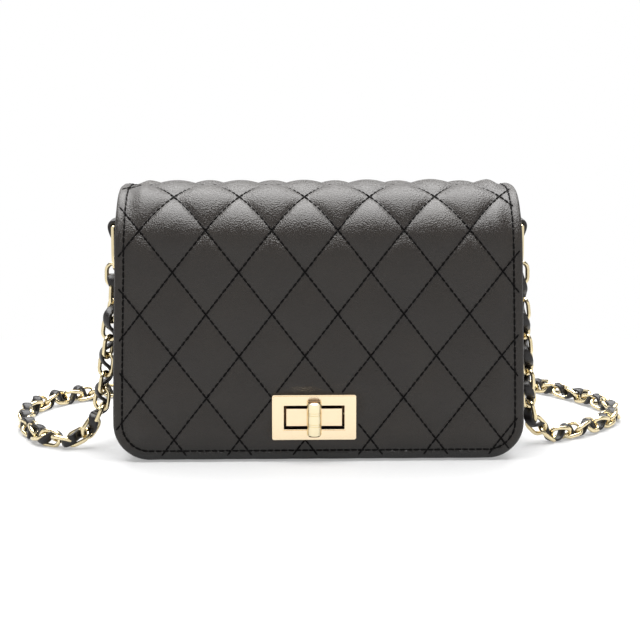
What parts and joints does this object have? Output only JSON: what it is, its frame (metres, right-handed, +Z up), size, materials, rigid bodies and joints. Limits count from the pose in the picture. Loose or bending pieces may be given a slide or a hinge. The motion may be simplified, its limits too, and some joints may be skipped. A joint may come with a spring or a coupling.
{
  "type": "crossbody purse",
  "caption": "Quilted black crossbody purse with a full front flap, turn lock, side D-rings and a lace-through chain strap lying on the ground.",
  "frame": {"origin": "middle of the purse's base, on the ground it stands on, midway between the front of the turn lock and the back panel", "axes": "+X along the purse's width, +Y towards the back panel, +Z up"},
  "size_m": [0.3273, 0.1616, 0.1345],
  "materials": {
    "bag_leather": "satin, fine grain",
    "lace_leather": "smooth satin",
    "padding": "soft",
    "stiffener": "matte",
    "lining_cloth": "woven",
    "chain_metal": "polished pale gold plate",
    "ring_metal": "polished pale gold plate",
    "lock_metal": "polished pale gold plate",
    "lock_fastenings": "plain"
  },
  "bodies": {
    "root": {"back_leather": "bag_leather", "back_foam": "padding", "back_board": "stiffener", "front_leather": "bag_leather", "front_board": "stiffener", "front_foam": "padding", "gusset_left": "bag_leather", "gusset_right": "bag_leather", "gusset_base": "bag_leather", "base_board": "stiffener", "lining_front": "lining_cloth", "lining_back": "lining_cloth", "lining_gusset": "lining_cloth", "slip_pocket": "lining_cloth", "mouth_binding": "bag_leather", "lock_block": "lock_metal", "lock_block_plate": "lock_fastenings", "lock_block_rivets": "lock_fastenings", "toggle_spring_washer": "lock_fastenings", "tab_left": "bag_leather", "tab_right": "bag_leather", "chain_drop_left": "chain_metal", "chain_loop_left": "chain_metal", "chain_rear": "chain_metal", "chain_loop_right": "chain_metal", "chain_drop_right": "chain_metal", "lace_drop_left": "lace_leather", "lace_floor": "lace_leather", "lace_drop_right": "lace_leather"},
    "flap": {"flap_leather": "bag_leather", "flap_foam": "padding", "flap_board": "stiffener", "flap_lining": "lining_cloth", "lock_frame": "lock_metal", "lock_frame_plate": "lock_fastenings", "lock_frame_rivets": "lock_fastenings"},
    "toggle": {"lock_toggle": "lock_metal", "toggle_spindle": "lock_fastenings"},
    "ring_left": {"d_ring_left": "ring_metal"},
    "ring_right": {"d_ring_right": "ring_metal"}
  },
  "joints": [
    {"name": "flap_hinge", "type": "hinge", "parent": "root", "child": "flap", "pos_m": [0, 0.0331, 0.119], "axis": [-1, 0, 0], "range_deg": [0, 150]},
    {"name": "toggle_turn", "type": "hinge", "parent": "root", "child": "toggle", "pos_m": [-0.0025, -0.0266, 0.0225], "axis": [0, 1, 0], "range_deg": [0, 90]},
    {"name": "ring_left_swing", "type": "hinge", "parent": "root", "child": "ring_left", "pos_m": [-0.10173, 0.00735, 0.113], "axis": [0, 1, 0], "range_deg": [0, 150], "deforming": ["chain_drop_left", "lace_drop_left"]},
    {"name": "ring_right_swing", "type": "hinge", "parent": "root", "child": "ring_right", "pos_m": [0.10173, 0.00735, 0.113], "axis": [0, -1, 0], "range_deg": [0, 150], "deforming": ["chain_drop_right", "lace_drop_right"]}
  ]
}
